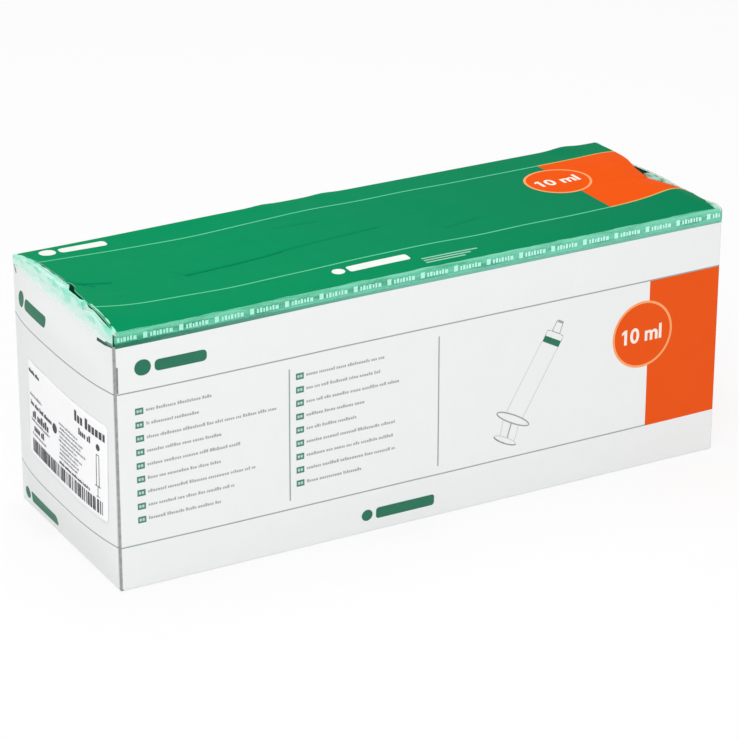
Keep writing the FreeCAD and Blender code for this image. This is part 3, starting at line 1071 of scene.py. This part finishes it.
endMarks = {
    "pills": ((11.7, 16.8, 21.4, 26.2, 4.6), (23.4, 18.4, 56, 25.2, 2.6), (15.2, 144.7, 53.6, 151.9, 1.8)),
    "disc": (9.4, 148.2, 3.7),
    "strokes": (                    # ink that ran over the top fold, and painted shade in the gap at the torn back corner: line, width, ink
        ([(119, 8.5), (128, 8.1), (137.7, 6.6)], 1.9, "bleedInk"),
        ([(129, 7.0), (137.7, 5.6)], 1.6, "bleedInk"),
        # painted shade in the gap at the torn back corner
        ([(2.2, 5.2), (3.6, 7.2), (5.6, 9.6)], 1.5, "bruise"),
    ),
}


def buildEndPrint():
    shapes = signs(endMarks, "greenInk")
    shapes += [(stroke(line, width, 1.2), inkName) for line, width, inkName in endMarks["strokes"]]
    writePrint("endPrint", shapes, onLeftEnd, 0.06)


buildPanelPrint()
buildLidPrint()
buildEndPrint()

# Paper label on the left end, turned a little, in that face's own u and v
label = {
    "centre": (77.7, 85.6),
    "width": 105.0,
    "height": 60.8,
    "turn": math.radians(1.9),
    "corner": 1.5,
    "lift": 0.26,
    "printLift": 0.16,
    "thickness": 0.12,
    "curl": 0.06,
    "columns": 42,
    "rows": 25,
    # made-up rows: start, end, middle height, letter height, ink
    "writing": (
        (28.4, 44.9, 61.8, 1.7, "blackInk"), (93.5, 127.7, 63.6, 4.6, "blackInk"),
        (98.4, 111.5, 71.2, 2.8, "blackInk"), (29.7, 61.0, 82.0, 2.0, "blackInk"),
        (32.6, 55.0, 88.6, 3.4, "blackInk"), (34.6, 50.3, 97.0, 3.0, "blackInk"),
        (29.0, 47.0, 76.6, 1.2, "labelGrey"), (30.5, 58.0, 92.4, 1.1, "labelGrey"),
        (32.0, 52.0, 101.0, 1.1, "labelGrey"), (71.6, 110.8, 102.0, 1.3, "blackInk"),
    ),
    "smallPrint": (9, 77.0, 2.7, 0.95),  # rows, first one's height, pitch, letter height
    "smallStart": (71.5, 73.5),
    "smallEnd": (92, 110),
    "discs": ((66.0, 83.2, 3.0), (120.5, 71.7, 2.0)),
    "slash": ((63.9, 86.0), (68.3, 80.6)),
    "pictogram": (
        ((118.9, 76.5), (118.9, 96)), ((121.7, 76.5), (121.7, 96)), ((117.4, 96), (123.2, 96)),
        ((118.9, 76.5), (121.7, 76.5)), ((120.3, 96), (120.3, 102.4)), ((118.8, 102.4), (121.8, 102.4)),
    ),
    "barCode": (32.0, 125, 104.1, 112.5),
    "bars": (0.5, 0.5, 1.0, 1.0, 1.5, 2.0),
    "gaps": (0.5, 0.6, 0.9, 1.2, 1.6),
}


def onLabel(u, v, lift):
    # u and v of the label before it is turned
    cu, cv = label["centre"]
    du, dv, turn = u - cu, v - cv, label["turn"]
    return onLeftEnd(cu + du * math.cos(turn) - dv * math.sin(turn),
                     cv + du * math.sin(turn) + dv * math.cos(turn), label["lift"] + lift)


def buildLabel():
    (cu, cv), width, tall = label["centre"], label["width"], label["height"]
    place = np.linspace(0, width, label["columns"] + 1)
    drop = cornerDrop(np.minimum(place, width - place), label["corner"])
    v = cv + (tall / 2 - drop)[:, None] * np.linspace(-1, 1, label["rows"] + 1)
    u = cu - width / 2 + place[:, None] + 0 * v
    points = onLabel(u, v, label["curl"] * (1 + ripple(u, v, 30, 31)))
    quads = quadGrid(label["columns"], label["rows"])
    piece = writePiece("endLabel", points, quads, [finish["labelPaper"]])
    finishPiece(piece, ["end_label"], label["thickness"])


def buildLabelPrint():
    # made-up rows, small print, a round mark, a pictogram and bars of uneven width
    rng = np.random.default_rng(17)
    shapes = []
    for start, end, middle, tall, inkName in label["writing"]:
        wide = (0.42 * tall, 0.75 * tall)
        shapes += greekedRow(rng, start, end, middle, tall, inkName, wide, 0.22 * tall, 0.7 * tall)
    count, first, pitch, tall = label["smallPrint"]
    for row in range(count):
        start, end = rng.uniform(*label["smallStart"]), rng.uniform(*label["smallEnd"])
        shapes += greekedRow(rng, start, end, first + row * pitch, tall, "labelGrey", (0.5, 0.9), 0.3, 0.8)
    shapes += [(disc(*place), "blackInk") for place in label["discs"]]
    shapes.append((stroke(label["slash"], 0.9), "labelPaper"))
    shapes += [(stroke(line, 0.45), "blackInk") for line in label["pictogram"]]
    at, last, top, low = label["barCode"]
    while at < last:
        thick = rng.choice(label["bars"])
        shapes.append((bar(at, top, at + thick, low), "blackInk"))
        at += thick + rng.choice(label["gaps"])
    writePrint("labelPrint", shapes, onLabel, label["printLift"] + 0.04)


buildLabel()
buildLabelPrint()

# Clear tape: a haze over the board, with repeated pale marks
tape = {
    "drop": 7.6,
    "lap": 2.6,
    "clearEdge": 5.1,         # the haze ends this far below the top fold
    "lift": 0.16,
    "thickness": 0.06,
    "rimSteps": (0.15, 0.6, 1.2),       # across the top of a rim
    "frontColour": (0.15, 0.58, 0.39, 1),
    "frontHaze": (0.22, 0.85),
    "frontStretch": (42.0, 300.0, 300.0),
    "leftColours": ((0.92, 1.0, 0.96, 1), (0.24, 0.78, 0.58, 1)),        # haze, and its patches
    "leftStretch": (160.0, 70.0, 240.0),
    "leftFade": (7.5, 3.5),   # below the top folds
    "crest": (3.5, -2.5),     # the same, where the haze turns white
    "crestInner": (-2.0, 0.2),          # from the left
    "rightColour": (0.45, 0.74, 0.60, 1),
    "rightHaze": (0.04, 0.42),
    "rightStretch": (420.0, 160.0, 300.0),
    "columns": (241, 140),    # along the front, along an end
    "wander": 0.2,            # how far the edge strays
    "lapWander": 0.5,
    "endWander": 0.4,
    "wrinkle": 0.05,
    "endWrinkle": 0.08,
    "lapWrinkle": 0.25,
    "markLift": 0.2,
    "markStart": -4.0,
    "markPitch": 21.8,
    "markEnds": (1.2, 398.6),
    "markBars": (             # along the tape, and across it from the fold down
        (0.0, 2.6, -0.3, 3.1), (4.3, 5.5, 0.4, 2.9), (6.1, 7.7, 0.1, 2.9), (8.3, 9.4, 0.6, 2.9),
        (9.9, 11.5, 0.2, 2.9), (12.2, 13.4, 0.5, 2.7), (14.0, 15.3, 0.1, 2.9), (15.9, 17.9, 0.5, 2.9),
    ),
}


def setHaze(shader, share):
    # the haze is seen, but it takes no light from the board under it
    path = addNode(share, "LightPath").outputs
    passing = most(path["Is Shadow Ray"], path["Is Diffuse Ray"])
    setInput(shader["Alpha"], times(share, minus(1.0, passing)))


def buildFilm(name, colour, haze, stretch, clearBelow=0.0):
    # clear tape: a haze whose share changes in streaks and ends above its clear edge, under a gloss
    material, shader, point = newMaterial(name, 0.22, 0.4)
    x, _, z = split(point)
    streak = streaks(point, stretch, 3.0)
    toRight = remap(x, xAt(0), xAt(2 * halfLength), 0.75, 1.35)
    hazy = remap(z, clearBelow * mm, (clearBelow + 0.6) * mm, 0.12, 1.0)
    setHaze(shader, times(remap(streak, 0.35, 0.65, *haze), toRight, hazy))
    dress(shader, colour, streak, 0.0002)
    return material


def buildLeftFilm():
    # the left end's tape hardly shows on the wall; on the crest it is a white haze with mint patches
    material, shader, point = newMaterial("leftFilm", 0.25, 0.4)
    x, _, z = split(point)
    crest = remap(z, *map(zAt, tape["crest"]))
    inner = remap(x, *map(xAt, tape["crestInner"]))
    streak = streaks(point, tape["leftStretch"], 4.0)
    mint = times(remap(streak, 0.46, 0.60), plus(times(crest, 0.45), 0.15))
    colour = blend(plus(mint, times(inner, 0.6)), *tape["leftColours"])
    share = times(remap(z, *map(zAt, tape["leftFade"])), plus(times(crest, 0.35), 0.5))
    setHaze(shader, times(share, remap(streak, 0.3, 0.7, 0.85, 1.1)))
    dress(shader, colour, streak, 0.0002)
    return material


def foldPath(x, s, lift):
    # up the front wall, round the long fold from s = 0 to its arc's length, then onto the lid
    arc = fold * np.pi / 2
    top = height * heightShare(x)
    turn = np.clip(s / fold, 0, np.pi / 2)
    wallZ = top - fold + np.minimum(s, 0)
    lidY = -flatY + np.maximum(s - arc, 0)
    turnedY = -flatY - (fold + lift) * np.cos(turn)
    turnedZ = top - fold + (fold + lift) * np.sin(turn)
    y = np.where(s < 0, -longWall(x, wallZ) - lift, np.where(s > arc, lidY, turnedY))
    z = np.where(s < 0, wallZ, np.where(s > arc, lidHeight(x, lidY) + lift, turnedZ))
    return np.stack([x, y, z], axis=-1)


def writeTape(name, points, flip, film, node):
    # flip: the grid runs so that its quads have to be turned over to face outwards
    quads = quadGrid(points.shape[0] - 1, points.shape[1] - 1)
    piece = writePiece(name, points, quads[:, ::-1] if flip else quads, [film])
    finishPiece(piece, [node], tape["thickness"])


def buildFrontTape(film):
    # along X, and across it by the way round the fold
    x = np.linspace(-halfLength + 0.5, halfLength - 0.5, tape["columns"][0])
    arc = fold * np.pi / 2
    low = fold - tape["drop"] + tape["wander"] * ripple(x, 0 * x, 60, 41)
    high = arc + tape["lap"] - fold + tape["lapWander"] * np.abs(ripple(x, 0 * x, 24, 45))
    onWall = low[:, None] * np.linspace(1, 0, 7)[:-1]
    onFold = np.linspace(0, arc, 5) + 0 * x[:, None]
    onTop = arc + (high - arc)[:, None] * np.linspace(0, 1, 5)[1:]
    s = np.concatenate([onWall, onFold, onTop], axis=1)
    grid = x[:, None] + 0 * s
    lift = tape["lift"] + tape["wrinkle"] * ripple(grid, s * 3, 16, 43) ** 2
    writeTape("frontTape", foldPath(grid, s, lift), True, film, "front_tape")


def buildEndTape(name, end, film, node):
    # along Y, and across it: up the end wall, over the rim and, where it laps, onto the lid
    side, steps = end["side"], np.array(tape["rimSteps"])
    y = np.linspace(-halfDepth + 0.6, flatY, tape["columns"][1])
    fromFront = y + halfDepth
    inset = np.where(fromFront < fold, cornerDrop(fromFront, fold), 0)
    rim = rimHeight(end, fromFront)
    low = height - tape["drop"] + tape["endWander"] * ripple(y, 0 * y, 40, 51)
    wallZ = low[:, None] + (rim - 0.4 - low)[:, None] * np.linspace(0, 1, 8)
    grid = y[:, None] + 0 * wallZ
    lift = tape["lift"] + tape["endWrinkle"] * ripple(grid, wallZ * 2, 12, 53) ** 2
    wall = np.stack([side * (endWall(end, grid, wallZ) + lift - inset[:, None]), grid, wallZ], axis=-1)

    outer = (halfLength - inset)[:, None]
    lap = np.interp(fromFront, *np.array(end["laps"]).T)[:, None]
    rimX = outer - steps
    rimZ = (rim + tape["lift"])[:, None] + 0 * rimX
    over = np.linspace(0, 1, 5)[1:]
    lapX = outer - steps[-1] - (lap - steps[-1]) * over
    grid = y[:, None] + 0 * lapX
    onLidZ = lidHeight(side * lapX, grid) + tape["lift"]
    reach = np.clip((lap - 1.3) / 1.5, 0, 1)
    lapZ = rimZ[:, :1] + (onLidZ - rimZ[:, :1]) * smooth(over * 1.4) * reach
    lapZ = lapZ + tape["lapWrinkle"] * reach * ripple(lapX, grid, 7, 57) * over
    topX = side * np.concatenate([rimX, lapX], axis=1)
    top = np.stack([topX, y[:, None] + 0 * topX, np.concatenate([rimZ, lapZ], axis=1)], axis=-1)
    writeTape(name, np.concatenate([wall, top], axis=1), side > 0, film, node)


def buildTapeMarks():
    # a small block and a word of bars, over and over along the front edge
    shapes = []
    first, last = tape["markEnds"]
    for start in np.arange(tape["markStart"], last, tape["markPitch"]):
        for left, right, top, low in tape["markBars"]:
            u0, u1 = max(start + left, first), min(start + right, last)
            if u1 - u0 > 0.6:
                shapes.append((bar(u0, top, u1, low, 0.7), "markInk"))

    def onTape(u, v, lift):
        return foldPath(u - halfLength, -v, tape["lift"] + lift)

    writePrint("tapeMarks", shapes, onTape, tape["markLift"])


frontFilm = buildFilm("frontFilm", tape["frontColour"], tape["frontHaze"], tape["frontStretch"],
                      height - tape["clearEdge"])
rightFilm = buildFilm("rightFilm", tape["rightColour"], tape["rightHaze"], tape["rightStretch"])
buildFrontTape(frontFilm)
buildEndTape("leftTape", leftEnd, buildLeftFilm(), "left_tape")
buildEndTape("rightTape", rightEnd, rightFilm, "right_tape")
buildTapeMarks()

# Camera at the photograph's place, fitted to the carton's corners
view = {
    "place": (-0.85974, -1.55354, 0.84169),
    "azimuth": -28.88,
    "elevation": 23.53,
    "roll": 0.12,
    "lens": 157.9,
    "sensor": 36.0,
}
camera = addObject("camera", bpy.data.cameras.new("camera"))
camera.data.lens = view["lens"]
camera.data.sensor_width = view["sensor"]
camera.location = view["place"]
camera.rotation_euler = (math.radians(90 - view["elevation"]), 0, math.radians(view["azimuth"]))
camera.rotation_euler.rotate_axis("Z", math.radians(view["roll"]))
bpy.context.scene.camera = camera

# Pale floor: white to the camera, with part of the carton's shadow left on it
studio = {
    "floorSize": 12.0,
    "floorDrop": 0.1,
    "floorColour": (0.86, 0.86, 0.86, 1),
    "shadowShare": 0.25,
    "worldLight": 0.73,
    "white": (1, 1, 1, 1),
    "lamps": (
        # name, place, aimed at, size, power
        ("keyLamp", (-1.3, -1.9, 1.9), (0, 0, 0.08), 1.6, 26),
        ("topLamp", (-0.1, 0.3, 2.2), (0, 0, 0.1), 1.8, 14),
    ),
}


def seenAs(tree, output, unseen, seen, share=1.0):
    # one shader for the light, another for camera, mirror and see-through rays
    path = addNode(tree, "LightPath").outputs
    direct = most(path["Is Camera Ray"], path["Is Glossy Ray"], path["Is Transmission Ray"])
    inputs = {0: times(direct, share), 1: unseen.outputs[0], 2: seen.outputs[0]}
    addNode(tree, output, {"Surface": addNode(tree, "MixShader", inputs).outputs[0]})


def emptyTree(owner):
    owner.use_nodes = True
    owner.node_tree.nodes.clear()
    return owner.node_tree


def buildFloor():
    material = bpy.data.materials.new("floorPaper")
    tree = emptyTree(material)
    matte = addNode(tree, "BsdfDiffuse", {"Color": studio["floorColour"]})
    bright = addNode(tree, "Emission", {"Color": studio["white"], "Strength": 1.0})
    seenAs(tree, "OutputMaterial", matte, bright, 1 - studio["shadowShare"])
    half, z = studio["floorSize"] / 2 / mm, -studio["floorDrop"]
    points = np.array([(-half, -half, z), (-half, half, z), (half, half, z), (half, -half, z)])
    writePiece("floor", points, np.array([[0, 3, 2, 1]]), [material])


def buildWorld():
    bpy.context.scene.world = bpy.data.worlds.new("studio")
    tree = emptyTree(bpy.context.scene.world)
    soft = addNode(tree, "Background", {"Color": studio["white"], "Strength": studio["worldLight"]})
    white = addNode(tree, "Background", {"Color": studio["white"], "Strength": 1.0})
    seenAs(tree, "OutputWorld", soft, white)


def buildLamps():
    for name, place, target, size, power in studio["lamps"]:
        lamp = addObject(name, bpy.data.lights.new(name, "AREA"))
        lamp.data.size = size
        lamp.data.energy = power
        lamp.location = place
        away = np.array(place) - np.array(target)
        flat = math.hypot(away[0], away[1])
        lamp.rotation_euler = (math.atan2(flat, away[2]), 0, math.atan2(away[0], -away[1]))


buildFloor()
buildWorld()
buildLamps()
bpy.context.scene.view_settings.view_transform = "Standard"
print("stage, lamps and camera placed")
